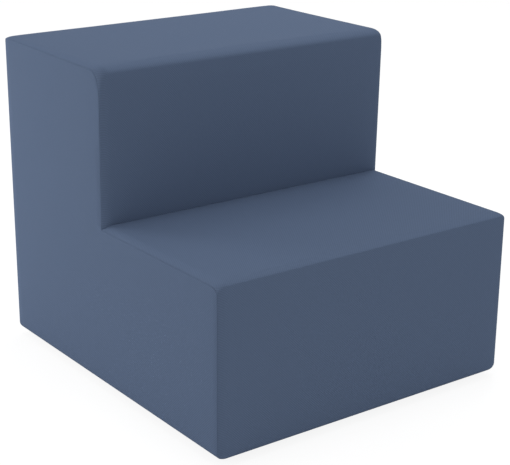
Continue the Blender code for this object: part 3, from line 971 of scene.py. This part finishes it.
def rubber():
    finish = Finish("rubber", 0.8, specular=0.3)
    bloom = finish.noise(finish.place(), 60, 3.0)
    pores = finish.noise(finish.place(), 1600, 2.0)
    finish.colour(finish.blend(bloom, RUBBER_COLOUR, shade(RUBBER_COLOUR, 1.8)))
    finish.roughness(finish.spread(bloom, 0.7, 0.9))
    finish.bump(pores, 0.0002, 0.5)
    return finish.material


def nonwoven():
    """Spun-bonded sheet: matted fibres with a grid of small welded dots."""
    finish = Finish("nonwoven", 0.9, specular=0.2)
    flat = finish.node("UVMap", uv_map=CLOTH_UV).outputs["UV"]
    split = finish.node("SeparateXYZ", {"Vector": flat})
    turns = 2 * math.pi / DOT_PITCH
    row = finish.math("COSINE", finish.math("MULTIPLY", split.outputs["X"], turns))
    line = finish.math("COSINE", finish.math("MULTIPLY", split.outputs["Y"], turns))
    dots = finish.math("GREATER_THAN", finish.math("MULTIPLY", row, line), 0.55)
    fibre = finish.noise(flat, 900, 4.0, 0.7)
    finish.colour(finish.blend(fibre, shade(NONWOVEN_COLOUR, 0.7), shade(NONWOVEN_COLOUR, 1.7)))
    finish.roughness(finish.spread(dots, 0.92, 0.6))
    finish.bump(finish.math("SUBTRACT", fibre, dots), 0.0002, 0.6)
    return finish.material


def make_materials():
    return {
        "cover_fabric": coated_fabric(),
        "foam": open_cell_foam(),
        "zinc_steel": zinc_steel(),
        "rubber": rubber(),
        "nonwoven": nonwoven(),
    }


def finish_nodes(materials):
    """Give each CAD node that still shows its finish; wood follows the board's own directions."""
    wood = {}
    for row in frame["record"]["subparts"]:
        node, slot = frame["nodes"][row["node"]], row["material_slot"]
        material = materials.get(slot)
        if slot in ("plywood", "pine"):
            low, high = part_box(row["node"])
            spans = list(high - low)
            axis = spans.index(min(spans)) if slot == "plywood" else spans.index(max(spans))
            if (slot, axis) not in wood:
                wood[slot, axis] = plywood(axis) if slot == "plywood" else pine(axis)
            material = wood[slot, axis]
        node.data.materials.clear()
        node.data.materials.append(material)


# Studio and camera


def seen_directly(tree):
    """1 for the rays that show the background: from the camera, and in gloss and glass."""
    rays = tree.nodes.new("ShaderNodeLightPath")
    total = rays.outputs["Is Camera Ray"]
    for name in ("Is Glossy Ray", "Is Transmission Ray"):
        either = tree.nodes.new("ShaderNodeMath")
        either.operation = "MAXIMUM"
        tree.links.new(total, either.inputs[0])
        tree.links.new(rays.outputs[name], either.inputs[1])
        total = either.outputs[0]
    return total


def make_world():
    world = bpy.data.worlds.new("studio")
    bpy.context.scene.world = world
    world.use_nodes = True
    tree = world.node_tree
    tree.nodes.clear()
    shown = tree.nodes.new("ShaderNodeBackground")
    shown.inputs["Color"].default_value = (1, 1, 1, 1)
    weave_top_tone = tree.nodes.new("ShaderNodeBackground")
    weave_top_tone.inputs["Color"].default_value = (1, 1, 1, 1)
    weave_top_tone.inputs["Strength"].default_value = WORLD_LIGHT
    mixed = tree.nodes.new("ShaderNodeMixShader")
    tree.links.new(seen_directly(tree), mixed.inputs[0])
    tree.links.new(weave_top_tone.outputs[0], mixed.inputs[1])
    tree.links.new(shown.outputs[0], mixed.inputs[2])
    output = tree.nodes.new("ShaderNodeOutputWorld")
    tree.links.new(mixed.outputs[0], output.inputs["Surface"])


def make_floor():
    mesh = bpy.data.meshes.new("floor")
    corners = [(-1, -1), (1, -1), (1, 1), (-1, 1)]
    mesh.from_pydata([(x * FLOOR_HALF, y * FLOOR_HALF, 0) for x, y in corners], [], [(0, 1, 2, 3)])
    floor = bpy.data.objects.new("floor", mesh)
    bpy.context.scene.collection.objects.link(floor)
    material = bpy.data.materials.new("studio_floor")
    material.use_nodes = True
    tree = material.node_tree
    tree.nodes.clear()
    bounce = tree.nodes.new("ShaderNodeBsdfDiffuse")
    bounce.inputs["Color"].default_value = (FLOOR_BOUNCE, FLOOR_BOUNCE, FLOOR_BOUNCE, 1)
    shaded = tree.nodes.new("ShaderNodeBsdfDiffuse")
    shaded.inputs["Color"].default_value = (FLOOR_SHADOW, FLOOR_SHADOW, FLOOR_SHADOW, 1)
    glow = tree.nodes.new("ShaderNodeEmission")
    glow.inputs["Strength"].default_value = FLOOR_GLOW
    shown = tree.nodes.new("ShaderNodeAddShader")
    tree.links.new(shaded.outputs[0], shown.inputs[0])
    tree.links.new(glow.outputs[0], shown.inputs[1])
    mixed = tree.nodes.new("ShaderNodeMixShader")
    tree.links.new(seen_directly(tree), mixed.inputs[0])
    tree.links.new(bounce.outputs[0], mixed.inputs[1])
    tree.links.new(shown.outputs[0], mixed.inputs[2])
    output = tree.nodes.new("ShaderNodeOutputMaterial")
    tree.links.new(mixed.outputs[0], output.inputs["Surface"])
    mesh.materials.append(material)


def direction(azimuth, elevation):
    """The way to a place, by its angles round from the front towards the right, and up."""
    level = Vector((math.sin(azimuth), -math.cos(azimuth), 0))
    return level * math.cos(elevation) + Vector((0, 0, math.sin(elevation)))


def make_lamp(name, azimuth, elevation, power):
    lamp = bpy.data.lights.new(name, "AREA")
    lamp.shape = "DISK"
    lamp.size = LAMP_SIZE
    lamp.energy = power
    holder = bpy.data.objects.new(name, lamp)
    way = direction(azimuth, elevation)
    holder.location = LAMP_AIM + way * LAMP_DISTANCE
    holder.rotation_euler = (-way).to_track_quat("-Z", "Y").to_euler()
    holder.visible_camera = False
    bpy.context.scene.collection.objects.link(holder)


def make_lamps():
    for name, (azimuth, elevation, power) in LAMPS.items():
        make_lamp(name, math.radians(azimuth), math.radians(elevation), power)


def make_camera():
    back = direction(CAMERA_AZIMUTH, CAMERA_ELEVATION)
    right = Vector((math.cos(CAMERA_AZIMUTH), math.sin(CAMERA_AZIMUTH), 0))
    up = back.cross(right)
    data = bpy.data.cameras.new("photo_camera")
    data.lens = CAMERA_LENS
    data.shift_x, data.shift_y = CAMERA_SHIFT
    camera = bpy.data.objects.new("photo_camera", data)
    place = right * CAMERA_RIGHT + up * CAMERA_UP + back * CAMERA_DISTANCE
    camera.location = place + Vector((0, 0, Z_HEM))
    camera.rotation_euler = (-back).to_track_quat("-Z", "Y").to_euler()
    bpy.context.scene.collection.objects.link(camera)
    bpy.context.scene.camera = camera


def main():
    bpy.context.scene.view_settings.view_transform = "Standard"
    make_camera()
    make_world()
    make_floor()
    make_lamps()
    materials = make_materials()
    finish_nodes(materials)
    make_foam(materials["foam"])
    make_cover(materials["cover_fabric"])
    make_underside(materials)


main()
